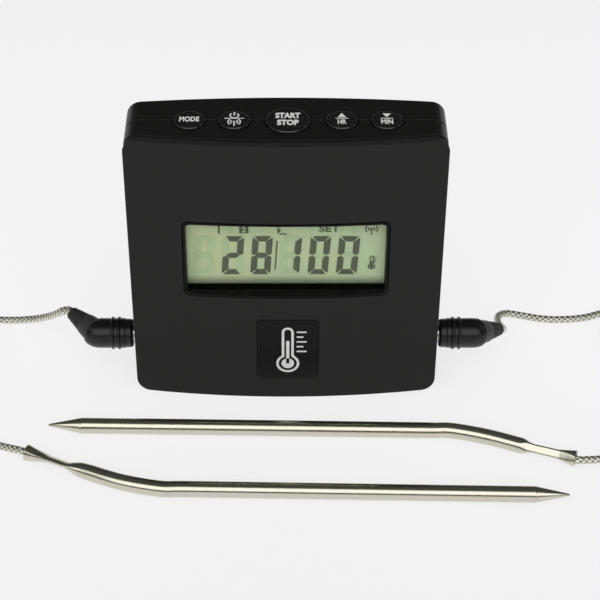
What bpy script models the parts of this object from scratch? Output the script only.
"""A two-probe digital thermometer: display case, five top buttons and two plug-in probe leads.

Metres, +Z up, +X right, -Y towards the reader. The origin is the centre of the case's foot.
Depths (Y) are counted from the seam between the two shells, which lies SEAM_Y behind the origin.
"""

from math import cos, pi, radians, sin

import bmesh
import bpy
from mathutils import Matrix, Vector

MM = 0.001
SEAM_Y = 1.1 * MM

# Overall case
CASE_WIDTH = 86.0 * MM
CASE_HEIGHT = 86.0 * MM
CASE_CORNER = 3.8 * MM
REAR_ROUND = 2.0 * MM
WALL = 1.8 * MM
GAP = 0.3 * MM
SEAM_GAP = 0.3 * MM
STATIONS = 12  # flat strips across each bowed surface
CORNER_STEPS = 4

# Bowed surfaces: depth at the middle and at the case's side edges
FACE_MIDDLE, FACE_SIDE = -13.5 * MM, -10.0 * MM
PANEL_DEPTH_MIDDLE, PANEL_DEPTH_SIDE = 3.3 * MM, 3.2 * MM
CELL_RADIUS = 5.25 * MM
REAR_MIDDLE, REAR_SIDE = 2 * CELL_RADIUS + 0.8 * MM, 2 * CELL_RADIUS - 1.6 * MM

# Front panel and its window
PANEL_DRAFT = 0.4 * MM
PANEL_EDGE = 0.5 * MM
SHELL_INSET = 0.1 * MM
WINDOW_WIDTH = 55.6 * MM
WINDOW_HEIGHT = 24.3 * MM
WINDOW_MIDDLE = 48.8 * MM
WINDOW_CORNER = 1.5 * MM
WINDOW_DRAFT = 0.8 * MM
LENS_MARGIN = 2.0 * MM
LENS_FRONT = -10.3 * MM
LENS_THICK = 1.0 * MM
BADGE_WIDTH, BADGE_HEIGHT = 17.2 * MM, 21.1 * MM
BADGE_X, BADGE_MIDDLE = 0.5 * MM, 18.05 * MM
BADGE_THICK, BADGE_PROUD = 0.5 * MM, 0.15 * MM
BADGE_CORNER = 1.2 * MM
PEG_RADIUS, PEG_LENGTH = 1.5 * MM, 1.7 * MM
PEG_X, PEG_Z = 34.0 * MM, (22.0 * MM, 62.0 * MM)

# Display stack, front to back
GLASS_THICK = 2.2 * MM
BOARD_FRONT = -4.2 * MM
BOARD_THICK = 1.6 * MM
ZEBRA_HEIGHT = 2.4 * MM
FRAME_RIM = 2.0 * MM

# Boards
BOARD_HALF_WIDTH = 33.3 * MM
BOARD_TOP = 74.0 * MM
LEG_INNER, LEG_OUTER, LEG_BOTTOM = 27.6 * MM, 39.0 * MM, 9.2 * MM
KEY_BOARD_HALF_WIDTH = 33.0 * MM
KEY_BOARD_FRONT, KEY_BOARD_REAR = -5.4 * MM, 4.6 * MM
KEY_BOARD_BELOW_TOP = 8.8 * MM
KEY_BOARD_THICK = 1.2 * MM
HEADER_HALF_WIDTH, HEADER_DEPTH, HEADER_LAP = 9.0 * MM, 2.5 * MM, 3.0 * MM
CHIP_X, CHIP_Z, CHIP_THICK = (-8.0 * MM, 4.0 * MM), (50.0 * MM, 62.0 * MM), 1.6 * MM
RADIO_X, RADIO_Z, RADIO_THICK = (12.0 * MM, 27.0 * MM), (56.0 * MM, 69.0 * MM), 2.2 * MM

# Buttons, left to right: name, place across the case, radius
BUTTONS = (
    ("mode", -25.6 * MM, 4.3 * MM),
    ("power", -13.7 * MM, 4.3 * MM),
    ("start", 0.5 * MM, 6.05 * MM),
    ("up", 14.8 * MM, 4.3 * MM),
    ("down", 26.7 * MM, 4.3 * MM),
)
BUTTON_Y = -0.4 * MM
BUTTON_PROUD = 0.55 * MM
BUTTON_GAP = 0.25 * MM
BUTTON_LIP = 0.8 * MM
BUTTON_LIP_THICK = 1.0 * MM
BUTTON_STEM = 1.6 * MM
BUTTON_STEM_LENGTH = 0.8 * MM
BUTTON_EDGE = 0.35 * MM
SWITCH_SIZE, SWITCH_HEIGHT, SWITCH_PLUNGER = 6.0 * MM, 2.0 * MM, 0.6 * MM

# Battery bay: two AAA cells, one above the other
CELL_LENGTH = 43.7 * MM
CELL_NUB_RADIUS, CELL_NUB = 1.9 * MM, 0.8 * MM
CELL_FOOT, CELL_SPACE = 8.25 * MM, 0.5 * MM  # below the lower cell and between the two
CELL_MIDDLES = (CELL_FOOT + CELL_RADIUS, CELL_FOOT + 3 * CELL_RADIUS + CELL_SPACE)
CELL_Y = CELL_RADIUS - 1.85 * MM
BAY_HALF_WIDTH = 25.0 * MM
BAY_CLEARANCE = 0.3 * MM
BAY_WALL = 1.9 * MM
BOARD_BOTTOM = CELL_MIDDLES[-1] + CELL_RADIUS + BAY_CLEARANCE + BAY_WALL + 1.05 * MM
DOOR_LAND = 1.0 * MM
DOOR_THICK = 1.5 * MM
DOOR_TONGUE_WIDTH, DOOR_TONGUE = 12.0 * MM, 3.0 * MM
DOOR_TAB_X, DOOR_TAB_WIDTH, DOOR_TAB_DROP = 14.0 * MM, 6.0 * MM, 1.4 * MM
DOOR_TAB_DEPTH, DOOR_TOE_THICK, DOOR_TAB_SLOT = 1.6 * MM, 1.0 * MM, 3.4 * MM
DOOR_TONGUE_CORNER, DOOR_TONGUE_SET_BACK = 1.2 * MM, 0.4 * MM
CONTACT_THICK, CONTACT_HALF_DEPTH = 0.4 * MM, 4.0 * MM
BUMP_RADIUS, SPRING_RADIUS, SPRING_TIP_RADIUS = 1.6 * MM, 3.0 * MM, 1.8 * MM

# Case screws, driven from the rear
SCREW_X = 36.8 * MM
SCREW_Z = (5.6 * MM, 80.0 * MM)
SCREW_RADIUS, SCREW_HEAD, SCREW_HEAD_THICK = 1.0 * MM, 2.0 * MM, 1.4 * MM
BOSS_RADIUS = 2.7 * MM
COUNTERBORE_FLOOR = 4.0 * MM

# Sounder
SOUNDER_X, SOUNDER_Z, SOUNDER_RADIUS, SOUNDER_DEPTH = -22.0 * MM, 52.0 * MM, 6.0 * MM, 5.0 * MM
SOUND_HOLE, SOUND_HOLE_PITCH = 0.8 * MM, 3.0 * MM

# Jacks, plugs and leads
JACK_Z = 13.0 * MM
PIN_RADIUS, PIN_LENGTH = 1.25 * MM, 11.5 * MM
JACK_NOSE, JACK_LENGTH, JACK_BODY = 2.6 * MM, 10.5 * MM, 4.8 * MM
JACK_NOSE_SET_BACK, JACK_SHOULDER = 0.6 * MM, 0.6 * MM
PIN_COLLAR, PIN_POINT, PIN_POINT_LENGTH = 2.3 * MM, 0.5 * MM, 0.9 * MM
PLUG_STANDOFF = 1.2 * MM
PLUG_RADIUS = 4.35 * MM
PLUG_LENGTH = 10.6 * MM
# Steps of the plug's first part, in millimetres: distance from its face, radius
PLUG_START = ((0, 3.95), (0.3, 4.15), (2.1, 4.15), (2.3, 4.35), (3.4, 4.35))
PLUG_RINGS, PLUG_RING, RING_SLOPE, RING_FLAT = (3.55 * MM, 5.4 * MM), 0.42 * MM, 0.2 * MM, 0.6 * MM
ELBOW_ROUND, ELBOW_THINNING = 1.0 * MM, 0.35 * MM
BOOT_TURN = radians(45)
NECK_LENGTH, NECK_RADIUS = 5.3 * MM, 3.1 * MM
BOOT_LENGTH, BOOT_RADIUS = 5.5 * MM, 1.9 * MM
CABLE_RADIUS = 1.1 * MM
CABLE_STRAIGHT = 1.0 * MM
ROUTES_HALF_WIDTH = 43.0 * MM  # half the case's width for which the leads' routes are written down
FLOOR_GAP = 0.05 * MM
COIL_RADIUS = 12.0 * MM
COIL_ACROSS, COIL_HIGH = 3.5, 4
COIL_ROUND = 0.8 * MM

# Probes
PROBE_RADIUS = 2.25 * MM
TIP_LENGTH = 9.4 * MM
TIP_BLUNT = 0.35 * MM
PROBE_WALL = 0.45 * MM
SOCKET_DEPTH = 16.0 * MM
BEAD_RADIUS = 1.2 * MM
LEADS_RADIUS = 0.7 * MM

PARTS = "two_probe_thermometer"
CUTTERS = "cutters"


# ---------------------------------------------------------------- scene and materials
def clear_scene():
    for obj in list(bpy.data.objects):
        bpy.data.objects.remove(obj, do_unlink=True)


def new_collection(name):
    collection = bpy.data.collections.new(name)
    bpy.context.scene.collection.children.link(collection)
    return collection


def material(name, colour, roughness=0.5, metallic=0.0, alpha=1.0):
    made = bpy.data.materials.new(name)
    made.use_nodes = True
    made.diffuse_color = (*colour, alpha)
    shader = made.node_tree.nodes["Principled BSDF"]
    shader.inputs["Base Color"].default_value = (*colour, 1.0)
    shader.inputs["Roughness"].default_value = roughness
    shader.inputs["Metallic"].default_value = metallic
    shader.inputs["Alpha"].default_value = alpha
    return made


def make_materials():
    return {
        "panel": material("panel", (0.024, 0.024, 0.023), 0.6),
        "shell": material("shell", (0.008, 0.008, 0.008), 0.4),
        "gloss": material("gloss", (0.006, 0.006, 0.006), 0.15),
        "clear": material("clear", (0.9, 0.95, 0.9), 0.05, alpha=0.3),
        "display": material("display", (0.38, 0.47, 0.25), 0.3),
        "diffuser": material("diffuser", (0.8, 0.82, 0.76), 0.6),
        "silicone": material("silicone", (0.35, 0.30, 0.32), 0.7),
        "board": material("board", (0.02, 0.16, 0.06), 0.5),
        "chip": material("chip", (0.02, 0.02, 0.022), 0.5),
        "tin": material("tin", (0.62, 0.62, 0.60), 0.35, 1.0),
        "nickel": material("nickel", (0.70, 0.69, 0.66), 0.25, 1.0),
        "cell": material("cell", (0.10, 0.16, 0.30), 0.35),
        "rubber": material("rubber", (0.012, 0.012, 0.011), 0.5),
        "braid": material("braid", (0.42, 0.42, 0.35), 0.45, 0.8),
        "steel": material("steel", (0.62, 0.61, 0.58), 0.18, 1.0),
        "bead": material("bead", (0.05, 0.12, 0.10), 0.3),
    }


class Model:
    """Adds objects to the parts or the cutters, all hung on the case's origin."""

    def __init__(self):
        self.parts = new_collection(PARTS)
        self.cutters = new_collection(CUTTERS)
        self.materials = make_materials()
        self.origin = bpy.data.objects.new("case_origin", None)
        self.origin.location = (0, SEAM_Y, 0)
        self.parts.objects.link(self.origin)

    def add(self, name, data, slot=None, location=(0, 0, 0)):
        """A part when it has a material slot, and otherwise a cutter or a piece to join."""
        obj = bpy.data.objects.new(name, data)
        obj.location = location
        obj.parent = self.origin
        if slot:
            data.materials.append(self.materials[slot])
            self.parts.objects.link(obj)
        else:
            obj.hide_render = True
            obj.display_type = "WIRE"
            self.cutters.objects.link(obj)
        return obj


# ---------------------------------------------------------------- shapes
def bowed(middle, side):
    """A surface that bows across the case: its depth at x."""
    half = CASE_WIDTH / 2
    return lambda x: middle + (side - middle) * (x / half) ** 2


def behind(surface, distance):
    return lambda x: surface(x) + distance


def flat(depth):
    return lambda x: depth


face_front = bowed(FACE_MIDDLE, FACE_SIDE)
face_rear = bowed(FACE_MIDDLE + PANEL_DEPTH_MIDDLE, FACE_SIDE + PANEL_DEPTH_SIDE)
shell_front = behind(face_rear, GAP)
shell_front_inner = behind(shell_front, WALL)
rear_outer = bowed(REAR_MIDDLE, REAR_SIDE)
rear_inner = behind(rear_outer, -WALL)


def mesh_from(bm, name, smooth=None):
    mesh = bpy.data.meshes.new(name)
    bmesh.ops.recalc_face_normals(bm, faces=bm.faces)
    bm.to_mesh(mesh)
    bm.free()
    if smooth is not None:
        mesh.shade_smooth()
        mesh.set_sharp_from_angle(angle=radians(smooth))
    return mesh


def edges_along(bm, axis):
    return [e for e in bm.edges if abs((e.verts[0].co - e.verts[1].co).normalized()[axis]) > 0.99]


def box_mesh(name, x, y, z, corner=0.0, corner_axis=1, steps=3, rear_shrink=0.0):
    """A box between pairs of limits, with the edges along one axis rounded."""
    bm = bmesh.new()
    size = Vector((x[1] - x[0], y[1] - y[0], z[1] - z[0]))
    centre = Vector((x[1] + x[0], y[1] + y[0], z[1] + z[0])) / 2
    bmesh.ops.create_cube(bm, size=1, matrix=Matrix.Translation(centre) @ Matrix.Diagonal((*size, 1)))
    if corner:
        bmesh.ops.bevel(bm, geom=edges_along(bm, corner_axis), offset=corner, segments=steps,
                        affect="EDGES", profile=0.5)
    if rear_shrink:
        for vert in bm.verts:
            if vert.co.y > centre.y:
                vert.co.x -= rear_shrink * (1 if vert.co.x > centre.x else -1)
                vert.co.z -= rear_shrink * (1 if vert.co.z > centre.z else -1)
    return mesh_from(bm, name)


def bowed_slab(name, width, bottom, top, front, rear, corner=0.0, rear_shrink=0.0, edge=None, middle=0.0):
    """An upright slab whose front and rear follow two bowed surfaces.

    edge is (which, width, steps): a rounding around the outline of the front or the rear.
    """
    bm = bmesh.new()
    centre = Vector((middle, 0, (bottom + top) / 2))
    scale = Matrix.Diagonal((width, 2, top - bottom, 1))
    bmesh.ops.create_cube(bm, size=1, matrix=Matrix.Translation(centre) @ scale)
    if corner:
        bmesh.ops.bevel(bm, geom=edges_along(bm, 1), offset=corner, segments=CORNER_STEPS,
                        affect="EDGES", profile=0.5)
    for step in range(1, STATIONS):
        across = (step / STATIONS - 0.5) * CASE_WIDTH
        if abs(across - middle) < width / 2 - 0.1 * MM:
            everything = bm.verts[:] + bm.edges[:] + bm.faces[:]
            bmesh.ops.bisect_plane(bm, geom=everything, plane_co=(across, 0, 0), plane_no=(1, 0, 0))
    rear_verts = {vert for vert in bm.verts if vert.co.y > 0}
    for vert in bm.verts:
        vert.co.y = (rear if vert in rear_verts else front)(vert.co.x)
    if edge:
        which, size, steps = edge
        chosen = rear_verts if which == "rear" else set(bm.verts) - rear_verts
        rim = [e for e in bm.edges if set(e.verts) <= chosen and e.calc_face_angle(0) > radians(40)]
        bmesh.ops.bevel(bm, geom=rim, offset=size, segments=steps, affect="EDGES", profile=0.5,
                        clamp_overlap=True)
    if rear_shrink:
        for vert in rear_verts:
            vert.co.x -= rear_shrink * (vert.co.x - middle) / (width / 2)
            vert.co.z -= rear_shrink * (vert.co.z - centre.z) / ((top - bottom) / 2)
    bmesh.ops.triangulate(bm, faces=[f for f in bm.faces if len(f.verts) > 4])
    return mesh_from(bm, name, smooth=25)


def rod_mesh(name, start, end, radius, end_radius=None, sides=24):
    """A cylinder, or a cone, from one point to another."""
    bm = bmesh.new()
    start, end = Vector(start), Vector(end)
    turn = (end - start).to_track_quat("Z", "Y").to_matrix().to_4x4()
    place = Matrix.Translation((start + end) / 2) @ turn
    bmesh.ops.create_cone(bm, cap_ends=True, segments=sides, radius1=radius,
                          radius2=radius if end_radius is None else end_radius,
                          depth=(end - start).length, matrix=place)
    return mesh_from(bm, name, smooth=40)


def turned(model, name, slot, profile, location, axis="Z", sides=24):
    """A turned solid: profile is (radius, height) from top to bottom along its axis."""
    mesh = bpy.data.meshes.new(name)
    mesh.from_pydata([(radius, 0, height) for radius, height in profile],
                     [(i, i + 1) for i in range(len(profile) - 1)], [])
    mesh.shade_smooth()
    obj = model.add(name, mesh, slot, location)
    if axis == "X":
        obj.rotation_euler = (0, pi / 2, 0)
    elif axis == "-X":
        obj.rotation_euler = (0, -pi / 2, 0)
    elif axis == "Y":
        obj.rotation_euler = (-pi / 2, 0, 0)
    screw = obj.modifiers.new("turn", "SCREW")
    screw.steps = screw.render_steps = sides
    screw.use_merge_vertices = True
    screw.merge_threshold = 0.00001
    return obj


def plate_mesh(name, outline, depth, thickness):
    """A flat plate facing the reader, from an outline in X and Z."""
    bm = bmesh.new()
    face = bm.faces.new([bm.verts.new((x, depth, z)) for x, z in outline])
    made = bmesh.ops.extrude_face_region(bm, geom=[face])
    moved = [item for item in made["geom"] if isinstance(item, bmesh.types.BMVert)]
    bmesh.ops.translate(bm, verts=moved, vec=(0, thickness, 0))
    return mesh_from(bm, name)


def boolean(target, other, operation):
    step = target.modifiers.new(f"{operation.lower()} {other.name}", "BOOLEAN")
    step.operation = operation
    step.solver = "EXACT"
    step.object = other


def cut(target, *others):
    for other in others:
        boolean(target, other, "DIFFERENCE")


def join(target, *others):
    for other in others:
        boolean(target, other, "UNION")


def rounded_path(points, spacing):
    """A smooth curve through the route's points, read at even steps."""
    points = [Vector(p) for p in points]
    ends = [points[0] * 2 - points[1], *points, points[-1] * 2 - points[-2]]
    fine = []
    for a, b, c, d in zip(ends, ends[1:], ends[2:], ends[3:]):
        for step in range(12):
            t = step / 12
            fine.append(0.5 * (2 * b + (c - a) * t + (2 * a - 5 * b + 4 * c - d) * t ** 2
                               + (3 * b - a - 3 * c + d) * t ** 3))
    fine.append(points[-1])
    total = sum((q - p).length for p, q in zip(fine, fine[1:]))
    count = max(2, round(total / spacing))
    read, travelled, wanted = [fine[0]], 0.0, total / count
    for p, q in zip(fine, fine[1:]):
        length = (q - p).length
        while travelled + length >= wanted * len(read) and len(read) < count:
            read.append(p.lerp(q, (wanted * len(read) - travelled) / length))
        travelled += length
    return read + [fine[-1]]


def tube(model, name, slot, points, radius, resolution=2, radii=None):
    """A round bar along the points, of one radius or of a radius at each point."""
    curve = bpy.data.curves.new(name, "CURVE")
    curve.dimensions = "3D"
    curve.bevel_depth = radius
    curve.bevel_resolution = resolution
    curve.use_fill_caps = True
    spline = curve.splines.new("POLY")
    spline.points.add(len(points) - 1)
    for index, place in enumerate(points):
        spline.points[index].co = (*place, 1)
        spline.points[index].radius = radii[index] / radius if radii else 1.0
    return model.add(name, curve, slot)


# ---------------------------------------------------------------- the case
def window_limits(margin=0.0):
    half_width, half_height = WINDOW_WIDTH / 2 + margin, WINDOW_HEIGHT / 2 + margin
    return (-half_width, half_width), (WINDOW_MIDDLE - half_height, WINDOW_MIDDLE + half_height)


def button_wells(model):
    """One cutter for each button's hole through the top of both shells."""
    low, high = CASE_HEIGHT - 2 * WALL, CASE_HEIGHT + WALL
    return [
        model.add(f"{name}_well", rod_mesh(f"{name}_well", (x, BUTTON_Y, low), (x, BUTTON_Y, high),
                                           radius + BUTTON_GAP, sides=32))
        for name, x, radius in BUTTONS
    ]


def jack_holes(model):
    reach = (CASE_WIDTH / 2 - 2 * WALL, CASE_WIDTH / 2 + WALL)
    return [
        model.add(f"jack_hole_{name}", rod_mesh(f"jack_hole_{name}", (side * reach[0], 0, JACK_Z),
                                                (side * reach[1], 0, JACK_Z), JACK_NOSE + GAP))
        for name, side in (("left", -1), ("right", 1))
    ]


def screw_places():
    return [(name_z + name_x, x, z)
            for name_z, z in zip(("lower_", "upper_"), SCREW_Z)
            for name_x, x in (("left", -SCREW_X), ("right", SCREW_X))]


def make_face_panel(model):
    panel = model.add("face_panel", bowed_slab(
        "face_panel", CASE_WIDTH, 0, CASE_HEIGHT, face_front, face_rear, CASE_CORNER,
        rear_shrink=PANEL_DRAFT, edge=("front", PANEL_EDGE, 2)), "panel")
    x, z = window_limits()
    window = model.add("window", box_mesh("window", x, (FACE_MIDDLE - WALL, LENS_FRONT + 3 * WALL), z,
                                          WINDOW_CORNER, rear_shrink=2 * WINDOW_DRAFT))
    x, z = window_limits(LENS_MARGIN + GAP)
    seat = model.add("lens_seat", box_mesh("lens_seat", x, (LENS_FRONT - GAP, WALL), z))
    badge_depth = BADGE_THICK + GAP - BADGE_PROUD
    pocket = model.add("badge_pocket", bowed_slab(
        "badge_pocket", BADGE_WIDTH + 2 * GAP, BADGE_MIDDLE - BADGE_HEIGHT / 2 - GAP,
        BADGE_MIDDLE + BADGE_HEIGHT / 2 + GAP, behind(face_front, -WALL), behind(face_front, badge_depth),
        BADGE_CORNER, middle=BADGE_X))
    cut(panel, window, seat, pocket)
    for place, (x, z) in enumerate((x, z) for x in (-PEG_X, PEG_X) for z in PEG_Z):
        root = face_rear(x) - GAP
        peg = model.add(f"peg_{place}", rod_mesh(
            f"peg_{place}", (x, root, z), (x, root + GAP + PEG_LENGTH, z), PEG_RADIUS, sides=16))
        join(panel, peg)


def make_front_shell(model, shared_cutters):
    width, top = CASE_WIDTH - 2 * SHELL_INSET, CASE_HEIGHT - SHELL_INSET
    shell = model.add("front_shell", bowed_slab(
        "front_shell", width, 0, top, shell_front, flat(-SEAM_GAP / 2), CASE_CORNER), "shell")
    hollow = model.add("front_hollow", bowed_slab(
        "front_hollow", width - 2 * WALL, WALL, top - WALL, shell_front_inner, flat(WALL),
        CASE_CORNER - WALL))
    x, z = window_limits(LENS_MARGIN + GAP)
    opening = model.add("display_opening", box_mesh("display_opening", x, (FACE_MIDDLE, -WALL), z))
    cut(shell, hollow, opening, *shared_cutters)
    for name, x, z in screw_places():
        boss = model.add(f"front_boss_{name}", rod_mesh(
            f"front_boss_{name}", (x, shell_front(x) + WALL / 2, z), (x, -SEAM_GAP, z), BOSS_RADIUS,
            sides=20))
        pilot = model.add(f"pilot_{name}", rod_mesh(
            f"pilot_{name}", (x, shell_front_inner(x) + GAP, z), (x, WALL, z), SCREW_RADIUS + GAP, sides=16))
        join(shell, boss)
        cut(shell, pilot)
    for place, (x, z) in enumerate((x, z) for x in (-PEG_X, PEG_X) for z in PEG_Z):
        hole = model.add(f"peg_hole_{place}", rod_mesh(
            f"peg_hole_{place}", (x, FACE_MIDDLE, z), (x, -WALL, z), PEG_RADIUS + GAP, sides=16))
        cut(shell, hole)


def bay_limits(margin=0.0):
    low = CELL_MIDDLES[0] - CELL_RADIUS - BAY_CLEARANCE - margin
    high = CELL_MIDDLES[-1] + CELL_RADIUS + BAY_CLEARANCE + margin
    return (-BAY_HALF_WIDTH - margin, BAY_HALF_WIDTH + margin), (low, high)


def door_seat_depth():
    """The flat plane on which the door's inner face lies."""
    return rear_outer(BAY_HALF_WIDTH + DOOR_LAND) - DOOR_THICK


def make_rear_shell(model, shared_cutters):
    width, top = CASE_WIDTH - 2 * SHELL_INSET, CASE_HEIGHT - SHELL_INSET
    shell = model.add("rear_shell", bowed_slab(
        "rear_shell", width, 0, top, flat(SEAM_GAP / 2), rear_outer, CASE_CORNER,
        edge=("rear", REAR_ROUND, 3)), "shell")
    hollow = model.add("rear_hollow", bowed_slab(
        "rear_hollow", width - 2 * WALL, WALL, top - WALL, flat(-WALL), rear_inner, CASE_CORNER - WALL))
    cut(shell, hollow)
    bay_floor = CELL_Y - CELL_RADIUS - BAY_CLEARANCE
    x, z = bay_limits(BAY_WALL)
    tray = model.add("bay_block", box_mesh(
        "bay_block", x, (bay_floor - WALL / 2, door_seat_depth() - GAP), z))
    join(shell, tray)
    x, z = bay_limits(DOOR_LAND)
    doorway = model.add("doorway", box_mesh("doorway", x, (door_seat_depth() - GAP, 2 * REAR_MIDDLE), z))
    x, z = bay_limits()
    bay = model.add("bay", box_mesh("bay", x, (bay_floor, 2 * REAR_MIDDLE), z))
    cut(shell, doorway, bay)
    tongue_top = bay_limits(DOOR_LAND)[1][1] + DOOR_TONGUE
    half = DOOR_TONGUE_WIDTH / 2 + GAP
    notch = model.add("tongue_notch", box_mesh(
        "tongue_notch", (-half, half), (door_seat_depth() - GAP, 2 * REAR_MIDDLE),
        (CELL_MIDDLES[-1], tongue_top + GAP), 1.5 * MM))
    cut(shell, notch)
    door_bottom = bay_limits(DOOR_LAND)[1][0]
    for side in (-1, 1):
        reach = DOOR_TAB_WIDTH / 2 + GAP
        slot = model.add(f"tab_slot_{side}", box_mesh(
            f"tab_slot_{side}", (side * DOOR_TAB_X - reach, side * DOOR_TAB_X + reach),
            (door_seat_depth() - DOOR_TAB_SLOT, door_seat_depth() - GAP / 2),
            (door_bottom - DOOR_TAB_DROP - 2 * GAP, CELL_MIDDLES[0])))
        cut(shell, slot)
    for name, x, z in screw_places():
        boss = model.add(f"rear_boss_{name}", rod_mesh(
            f"rear_boss_{name}", (x, SEAM_GAP, z), (x, rear_outer(x) - WALL / 2, z), BOSS_RADIUS + 0.2 * MM,
            sides=20))
        bore = model.add(f"screw_bore_{name}", rod_mesh(
            f"screw_bore_{name}", (x, -WALL, z), (x, REAR_MIDDLE, z), SCREW_RADIUS + GAP, sides=16))
        counterbore = model.add(f"counterbore_{name}", rod_mesh(
            f"counterbore_{name}", (x, COUNTERBORE_FLOOR, z), (x, 2 * REAR_MIDDLE, z), SCREW_HEAD + GAP,
            sides=20))
        join(shell, boss)
        cut(shell, bore, counterbore)
    for index in range(7):
        angle = index * pi / 3
        out = SOUND_HOLE_PITCH if index else 0.0
        x, z = SOUNDER_X + out * cos(angle), SOUNDER_Z + out * sin(angle)
        hole = model.add(f"sound_hole_{index}", rod_mesh(
            f"sound_hole_{index}", (x, rear_inner(x) - WALL, z), (x, 2 * REAR_MIDDLE, z), SOUND_HOLE,
            sides=12))
        cut(shell, hole)
    cut(shell, *shared_cutters)


def make_battery_door(model):
    inner = door_seat_depth()
    x, z = bay_limits(DOOR_LAND - GAP)
    width = x[1] - x[0]
    door = model.add("battery_door", bowed_slab("battery_door", width, z[0], z[1], flat(inner), rear_outer),
                     "shell")
    half = DOOR_TONGUE_WIDTH / 2
    tongue = model.add("door_tongue", bowed_slab(
        "door_tongue", 2 * half, z[1] - 2 * MM, bay_limits(DOOR_LAND)[1][1] + DOOR_TONGUE, flat(inner),
        behind(rear_outer, -DOOR_TONGUE_SET_BACK), DOOR_TONGUE_CORNER))
    join(door, tongue)
    for side in (-1, 1):
        x0, x1 = side * DOOR_TAB_X - DOOR_TAB_WIDTH / 2, side * DOOR_TAB_X + DOOR_TAB_WIDTH / 2
        leg = model.add(f"tab_leg_{side}", box_mesh(
            f"tab_leg_{side}", (x0, x1), (inner - DOOR_TAB_DEPTH, inner + DOOR_THICK / 3),
            (z[0] + 0.2 * MM, z[0] + 2 * MM)))
        toe = model.add(f"tab_toe_{side}", box_mesh(
            f"tab_toe_{side}", (x0, x1), (inner - DOOR_TAB_DEPTH, inner - DOOR_TAB_DEPTH + DOOR_TOE_THICK),
            (z[0] - DOOR_TAB_DROP, z[0] + 1 * MM)))
        join(door, leg, toe)


# ---------------------------------------------------------------- display and boards
def make_display(model):
    x, z = window_limits(LENS_MARGIN)
    model.add("window_lens", box_mesh("window_lens", x, (LENS_FRONT, LENS_FRONT + LENS_THICK), z), "clear")
    glass_front = LENS_FRONT + LENS_THICK + GAP
    glass_rear = glass_front + GLASS_THICK
    model.add("lcd_glass", box_mesh("lcd_glass", x, (glass_front, glass_rear), z), "display")
    strip_depth = (glass_rear + GAP, BOARD_FRONT - GAP)
    lower, upper = (z[0], z[0] + ZEBRA_HEIGHT), (z[1] - ZEBRA_HEIGHT, z[1])
    model.add("zebra_strip_lower", box_mesh("zebra_strip_lower", x, strip_depth, lower), "silicone")
    model.add("zebra_strip_upper", box_mesh("zebra_strip_upper", x, strip_depth, upper), "silicone")
    middle = (lower[1] + GAP, upper[0] - GAP)
    model.add("backlight_plate", box_mesh("backlight_plate", x, strip_depth, middle), "diffuser")
    (left, right), (low, high) = window_limits(LENS_MARGIN + FRAME_RIM + GAP)
    frame = model.add("lcd_frame", bowed_slab(
        "lcd_frame", right - left, low, high, behind(shell_front_inner, GAP), flat(BOARD_FRONT - GAP)),
        "shell")
    x, z = window_limits(LENS_MARGIN + GAP)
    opening = model.add("lcd_frame_opening", box_mesh("lcd_frame_opening", x, (FACE_MIDDLE, WALL), z))
    cut(frame, opening)


def make_boards(model):
    half = BOARD_HALF_WIDTH
    right = [(LEG_INNER, BOARD_BOTTOM), (LEG_INNER, LEG_BOTTOM), (LEG_OUTER, LEG_BOTTOM),
             (LEG_OUTER, BOARD_BOTTOM), (half, BOARD_BOTTOM + 5 * MM), (half, BOARD_TOP)]
    outline = right + [(-x, z) for x, z in reversed(right)]
    model.add("main_board", plate_mesh("main_board", outline, BOARD_FRONT, BOARD_THICK), "board")
    top = CASE_HEIGHT - KEY_BOARD_BELOW_TOP + KEY_BOARD_THICK
    bottom = CASE_HEIGHT - KEY_BOARD_BELOW_TOP
    model.add("button_board", box_mesh(
        "button_board", (-KEY_BOARD_HALF_WIDTH, KEY_BOARD_HALF_WIDTH), (KEY_BOARD_FRONT, KEY_BOARD_REAR),
        (bottom, top)), "board")
    rear = BOARD_FRONT + BOARD_THICK + GAP
    model.add("board_header", box_mesh(
        "board_header", (-HEADER_HALF_WIDTH, HEADER_HALF_WIDTH), (rear, rear + HEADER_DEPTH),
        (BOARD_TOP - HEADER_LAP, bottom - GAP)), "chip")
    model.add("controller_chip", box_mesh(
        "controller_chip", CHIP_X, (rear, rear + CHIP_THICK), CHIP_Z), "chip")
    model.add("radio_module", box_mesh("radio_module", RADIO_X, (rear, rear + RADIO_THICK), RADIO_Z), "tin")
    sounder = rod_mesh("sounder", (SOUNDER_X, rear, SOUNDER_Z), (SOUNDER_X, rear + SOUNDER_DEPTH, SOUNDER_Z),
                       SOUNDER_RADIUS)
    model.add("sounder", sounder, "chip")


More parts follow.
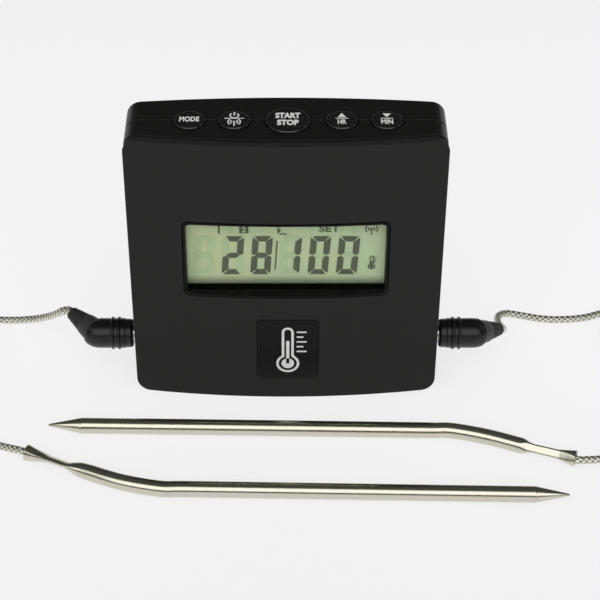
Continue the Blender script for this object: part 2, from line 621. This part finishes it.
def make_buttons(model):
    top = CASE_HEIGHT - SHELL_INSET
    lip_top = top - WALL - GAP
    for name, x, radius in BUTTONS:
        cap_top = top + BUTTON_PROUD
        profile = [
            (0, cap_top), (radius - BUTTON_EDGE, cap_top), (radius, cap_top - BUTTON_EDGE),
            (radius, lip_top), (radius + BUTTON_LIP, lip_top),
            (radius + BUTTON_LIP, lip_top - BUTTON_LIP_THICK),
            (BUTTON_STEM, lip_top - BUTTON_LIP_THICK),
            (BUTTON_STEM, lip_top - BUTTON_LIP_THICK - BUTTON_STEM_LENGTH),
            (0, lip_top - BUTTON_LIP_THICK - BUTTON_STEM_LENGTH),
        ]
        turned(model, f"{name}_button", "gloss", [(r, z - top) for r, z in profile], (x, BUTTON_Y, top),
               sides=32)
        floor = CASE_HEIGHT - KEY_BOARD_BELOW_TOP + KEY_BOARD_THICK + GAP
        half = SWITCH_SIZE / 2
        switch = model.add(f"{name}_switch", box_mesh(
            f"{name}_switch", (x - half, x + half), (BUTTON_Y - half, BUTTON_Y + half),
            (floor, floor + SWITCH_HEIGHT)), "chip")
        plunger = model.add(f"{name}_plunger", rod_mesh(
            f"{name}_plunger", (x, BUTTON_Y, floor + SWITCH_HEIGHT / 2),
            (x, BUTTON_Y, floor + SWITCH_HEIGHT + SWITCH_PLUNGER), BUTTON_STEM, sides=12))
        join(switch, plunger)


# ---------------------------------------------------------------- fasteners and power
def make_screws(model):
    for name, x, z in screw_places():
        head = COUNTERBORE_FLOOR + GAP
        tip = shell_front_inner(x) + 2 * GAP
        profile = [(0, head + SCREW_HEAD_THICK), (SCREW_HEAD, head + SCREW_HEAD_THICK), (SCREW_HEAD, head),
                   (SCREW_RADIUS, head), (SCREW_RADIUS, tip), (0, tip)]
        turned(model, f"{name}_screw", "tin", profile, (x, 0, z), axis="Y", sides=16)


def make_cells(model):
    half = CELL_LENGTH / 2
    for name, z, sense in (("lower", CELL_MIDDLES[0], "X"), ("upper", CELL_MIDDLES[1], "-X")):
        profile = [(0, half + CELL_NUB), (CELL_NUB_RADIUS, half + CELL_NUB), (CELL_NUB_RADIUS, half),
                   (CELL_RADIUS, half), (CELL_RADIUS, -half), (0, -half)]
        turned(model, f"{name}_battery", "cell", profile, (0, CELL_Y, z), axis=sense)
    for name, side in (("left", -1), ("right", 1)):
        near = BAY_HALF_WIDTH - GAP
        x = sorted((side * near, side * (near - CONTACT_THICK)))
        low, high = bay_limits(-2 * GAP)[1]
        contact = model.add(f"{name}_contact", box_mesh(
            f"{name}_contact", x, (CELL_Y - CONTACT_HALF_DEPTH, CELL_Y + CONTACT_HALF_DEPTH),
            (low, high)), "tin")
        # The nub end of the lower cell faces +X and that of the upper cell faces -X.
        nub_z, flat_z = CELL_MIDDLES if side > 0 else CELL_MIDDLES[::-1]
        start = side * (near - CONTACT_THICK / 2)
        nub_end = side * (half + CELL_NUB + GAP)
        flat_end = side * (half + GAP)
        bump = model.add(f"{name}_bump", rod_mesh(
            f"{name}_bump", (start, CELL_Y, nub_z), (nub_end, CELL_Y, nub_z), BUMP_RADIUS, sides=12))
        spring = model.add(f"{name}_spring", rod_mesh(
            f"{name}_spring", (start, CELL_Y, flat_z), (flat_end, CELL_Y, flat_z), SPRING_RADIUS,
            SPRING_TIP_RADIUS, sides=16))
        join(contact, bump, spring)


# ---------------------------------------------------------------- jacks, plugs and leads
class Lead:
    """One side's lead: which way it leaves, how its boot is turned and the cable's route in millimetres."""

    def __init__(self, name, side, boot_dip, coil_centre, out_route, probe_route):
        self.name = name
        self.side = side
        self.boot_dip = radians(boot_dip)
        wider = Vector((side * (CASE_WIDTH / 2 - ROUTES_HALF_WIDTH), 0, 0))
        self.coil_centre = Vector((*coil_centre, 0)) * MM + wider
        self.out_route = [Vector(p) * MM + wider for p in out_route]
        last = len(probe_route) - 1
        self.probe_route = [Vector(p) * MM + wider * (1 - i / last) for i, p in enumerate(probe_route)]

    def elbow(self):
        return Vector((self.side * (CASE_WIDTH / 2 + PLUG_STANDOFF + PLUG_LENGTH), 0, JACK_Z))

    def boot_direction(self):
        back = Vector((0, cos(self.boot_dip), sin(self.boot_dip)))
        return Vector((self.side, 0, 0)) * cos(BOOT_TURN) + back * sin(BOOT_TURN)

    def boot_end(self):
        return self.elbow() + self.boot_direction() * (NECK_LENGTH + GAP + BOOT_LENGTH)


# Routes run from the plug to the coil and from the coil to the probe, on a table at z = 0.
LEADS = (
    Lead("left", -1, 8, (-107, 6),
         ((-67.4, 11.4, 11.3), (-69.9, 14.0, 8.2), (-72.7, 16.7, 5.3), (-75.5, 18.8, 3.1), (-78.5, 20.0, 1.8),
          (-81.8, 20.5, 1.2), (-87, 20.7, 1.15), (-96, 22.4, 1.15), (-106.5, 23.3, 1.15)),
         ((-119.2, -6.2, 7.7), (-113.5, -11.8, 6.2), (-105, -20.2, 2.8), (-97, -26.4, 1.3),
          (-88.5, -31.8, 1.15), (-79.6, -35.4, 1.3))),
    Lead("right", 1, -31, (116, 11),
         ((64.0, 11.6, 5.6), (63.7, 16.0, 4.0), (64.4, 20.4, 2.6), (67.2, 23.0, 1.6), (72.0, 22.6, 1.2),
          (77.1, 21.3, 1.15), (82.6, 20.8, 1.15), (90.0, 21.6, 1.15), (95.8, 23.7, 1.15), (105, 27.5, 1.15),
          (115.5, 28.3, 1.15)),
         ((128.2, -1.2, 7.7), (122.5, -6.8, 6.2), (115, -15.2, 2.8), (108.5, -24.0, 1.3),
          (101.5, -33.0, 1.15), (92.8, -39.4, 1.2))),
)

# Each probe's axis on the table, from the tip's shoulder to the cable: straight, one bend, crimp, flare.
PROBES = {
    "left": ((67.1, -55.5), (-34.1, -53.3), (-44.5, -50.8), (-55, -46.5), (-65, -41.9), (-71.6, -39.1)),
    "right": ((-57.5, -28.0), (46.6, -30.1), (56.4, -32.7), (66.1, -36.5), (72.6, -38.8), (79.9, -41.5)),
}
CRIMP_FROM_END = (10.5 * MM, 4.5 * MM)
CRIMP_THICK, CRIMP_WIDE = 0.62, 1.12
FLARE_THICK, FLARE_WIDE = 0.72, 1.12


def make_jack_and_plug(model, lead):
    side, wall = lead.side, CASE_WIDTH / 2
    nose_end = wall - JACK_NOSE_SET_BACK
    half = JACK_BODY / 2
    x = sorted((side * (wall - WALL - GAP - SHELL_INSET), side * (wall - WALL - JACK_LENGTH)))
    front = BOARD_FRONT + BOARD_THICK + GAP
    jack = model.add(f"{lead.name}_jack", box_mesh(
        f"{lead.name}_jack", x, (front, front + JACK_BODY),
        (JACK_Z - half - JACK_SHOULDER, JACK_Z + half + JACK_SHOULDER)), "chip")
    nose = model.add(f"{lead.name}_nose", rod_mesh(
        f"{lead.name}_nose", (side * (wall - 2 * WALL), 0, JACK_Z), (side * nose_end, 0, JACK_Z), JACK_NOSE))
    bore = model.add(f"{lead.name}_bore", rod_mesh(
        f"{lead.name}_bore", (side * (wall - 2 * JACK_LENGTH), 0, JACK_Z), (side * wall, 0, JACK_Z),
        PIN_RADIUS + GAP, sides=16))
    join(jack, nose)
    cut(jack, bore)
    face = wall + PLUG_STANDOFF
    collar, tip = face - GAP, face - GAP - PIN_LENGTH
    profile = [(0, collar), (PIN_COLLAR, collar), (PIN_COLLAR, nose_end + GAP), (PIN_RADIUS, nose_end + GAP),
               (PIN_RADIUS, tip + PIN_POINT_LENGTH), (PIN_POINT, tip), (0, tip)]
    turned(model, f"{lead.name}_plug_pin", "nickel", profile, (0, 0, JACK_Z), axis="X" if side > 0 else "-X",
           sides=16)
    ringed = PLUG_RADIUS + PLUG_RING
    radii = [radius * MM for _, radius in PLUG_START]
    path = [Vector((side * (face + step * MM), 0, JACK_Z)) for step, _ in PLUG_START]
    for ring in PLUG_RINGS:
        for step, radius in ((0, PLUG_RADIUS), (RING_SLOPE, ringed), (RING_SLOPE + RING_FLAT, ringed),
                             (2 * RING_SLOPE + RING_FLAT, PLUG_RADIUS)):
            path.append(Vector((side * (face + ring + step), 0, JACK_Z)))
            radii.append(radius)
    elbow, turn = lead.elbow(), lead.boot_direction()
    straight = Vector((side, 0, 0))
    for step in range(5):
        share = step / 4
        path.append(elbow + (turn * share ** 2 - straight * (1 - share) ** 2) * ELBOW_ROUND)
        radii.append(PLUG_RADIUS - ELBOW_THINNING * share)
    path.append(elbow + turn * NECK_LENGTH)
    radii.append(NECK_RADIUS)
    tube(model, f"{lead.name}_plug_body", "rubber", path, PLUG_RADIUS, resolution=8, radii=radii)
    start, end = elbow + turn * (NECK_LENGTH + GAP), lead.boot_end()
    model.add(f"{lead.name}_strain_relief", rod_mesh(
        f"{lead.name}_strain_relief", start, end, NECK_RADIUS - 0.1 * MM, BOOT_RADIUS, sides=20), "rubber")


def make_cable(model, lead):
    out_from = lead.boot_end() + lead.boot_direction() * GAP
    bend = out_from + lead.boot_direction() * CABLE_STRAIGHT
    spacing = 4 * CABLE_RADIUS
    out = [out_from] + rounded_path([bend, *lead.out_route], spacing)
    tube(model, f"{lead.name}_cable_to_coil", "braid", out, CABLE_RADIUS)
    end = Vector((*PROBES[lead.name][-1], 0)) * MM
    inward = (end - Vector((*PROBES[lead.name][-2], 0)) * MM).normalized()
    probe_end = end + inward * GAP + Vector((0, 0, PROBE_RADIUS))
    back = rounded_path([*lead.probe_route, probe_end + inward * 1.8 * MM], spacing) + [probe_end]
    tube(model, f"{lead.name}_cable_to_probe", "braid", back, CABLE_RADIUS)
    across, high = COIL_ACROSS * CABLE_RADIUS, 2 * COIL_HIGH * CABLE_RADIUS
    inner, outer = COIL_RADIUS - across, COIL_RADIUS + across
    profile = [(inner + COIL_ROUND, high), (outer - COIL_ROUND, high), (outer, high - COIL_ROUND),
               (outer, COIL_ROUND), (outer - COIL_ROUND, 0), (inner + COIL_ROUND, 0), (inner, COIL_ROUND),
               (inner, high - COIL_ROUND), (inner + COIL_ROUND, high)]
    turned(model, f"{lead.name}_cable_coil", "braid", profile, lead.coil_centre + Vector((0, 0, FLOOR_GAP)),
           sides=32)


def loft(bm, sections, sides=16):
    """Closes a skin over unlike oval sections: (centre, across, half width, half thickness)."""
    rings = []
    for centre, across, wide, thick in sections:
        rings.append([
            bm.verts.new(centre + across * wide * cos(2 * pi * i / sides)
                         + Vector((0, 0, thick * sin(2 * pi * i / sides))))
            for i in range(sides)])
    for near, far in zip(rings, rings[1:]):
        for i in range(sides):
            bm.faces.new((near[i], near[(i + 1) % sides], far[(i + 1) % sides], far[i]))
    bm.faces.new(rings[0])
    bm.faces.new(rings[-1][::-1])


def make_probe(model, lead):
    """A bent steel tube, crimped flat near the cable, with a pointed tip over its sensor."""
    route = [Vector((x, y, 0)) * MM for x, y in PROBES[lead.name]]
    straight = (route[0] - route[1]).normalized()
    path = [route[0], route[1] + straight * 12 * MM]
    path += rounded_path([route[1] + straight * 6 * MM, *route[1:]], 2.6 * MM)
    lengths = [0.0]
    for p, q in zip(path, path[1:]):
        lengths.append(lengths[-1] + (q - p).length)
    sections = []
    radius = PROBE_RADIUS
    for index, (place, length) in enumerate(zip(path, lengths)):
        ahead = path[min(index + 1, len(path) - 1)] - path[max(index - 1, 0)]
        across = Vector((-ahead.y, ahead.x, 0)).normalized()
        from_end = lengths[-1] - length
        thick, wide = 1.0, 1.0
        if from_end < CRIMP_FROM_END[1]:
            thick, wide = FLARE_THICK, FLARE_WIDE
        elif from_end < CRIMP_FROM_END[0]:
            thick, wide = CRIMP_THICK, CRIMP_WIDE
        sections.append((place + Vector((0, 0, radius)), across, radius * wide, radius * thick))
    bm = bmesh.new()
    loft(bm, sections)
    probe = model.add(f"{lead.name}_probe_tube", mesh_from(bm, f"{lead.name}_probe_tube", smooth=50), "steel")
    lift = Vector((0, 0, radius))
    mouth = route[0] + lift
    bore = model.add(f"{lead.name}_tube_bore", rod_mesh(
        f"{lead.name}_tube_bore", mouth + straight * MM, mouth - straight * SOCKET_DEPTH, radius - PROBE_WALL,
        sides=12))
    cut(probe, bore)
    shoulder = mouth + straight * GAP
    tip = model.add(f"{lead.name}_probe_tip", rod_mesh(
        f"{lead.name}_probe_tip", shoulder, shoulder + straight * TIP_LENGTH, radius, TIP_BLUNT, sides=16),
        "steel")
    pocket = model.add(f"{lead.name}_sensor_pocket", rod_mesh(
        f"{lead.name}_sensor_pocket", shoulder - straight * MM, shoulder + straight * 2.4 * MM,
        BEAD_RADIUS + GAP, sides=12))
    cut(tip, pocket)
    bead = model.add(f"{lead.name}_sensor", rod_mesh(
        f"{lead.name}_sensor", shoulder + straight * 2.0 * MM, shoulder - straight * 1.0 * MM, BEAD_RADIUS,
        sides=12), "bead")
    leads = model.add(f"{lead.name}_sensor_leads", rod_mesh(
        f"{lead.name}_sensor_leads", shoulder, shoulder - straight * (SOCKET_DEPTH - 2 * MM), LEADS_RADIUS,
        sides=8))
    join(bead, leads)


def main():
    clear_scene()
    model = Model()
    shared_cutters = button_wells(model) + jack_holes(model)
    make_face_panel(model)
    make_front_shell(model, shared_cutters)
    make_rear_shell(model, shared_cutters)
    make_battery_door(model)
    badge_front = behind(face_front, -BADGE_PROUD)
    model.add("badge", bowed_slab(
        "badge", BADGE_WIDTH, BADGE_MIDDLE - BADGE_HEIGHT / 2, BADGE_MIDDLE + BADGE_HEIGHT / 2, badge_front,
        behind(badge_front, BADGE_THICK), BADGE_CORNER, middle=BADGE_X), "gloss")
    make_display(model)
    make_boards(model)
    make_buttons(model)
    make_screws(model)
    make_cells(model)
    for lead in LEADS:
        make_jack_and_plug(model, lead)
        make_cable(model, lead)
        make_probe(model, lead)


main()
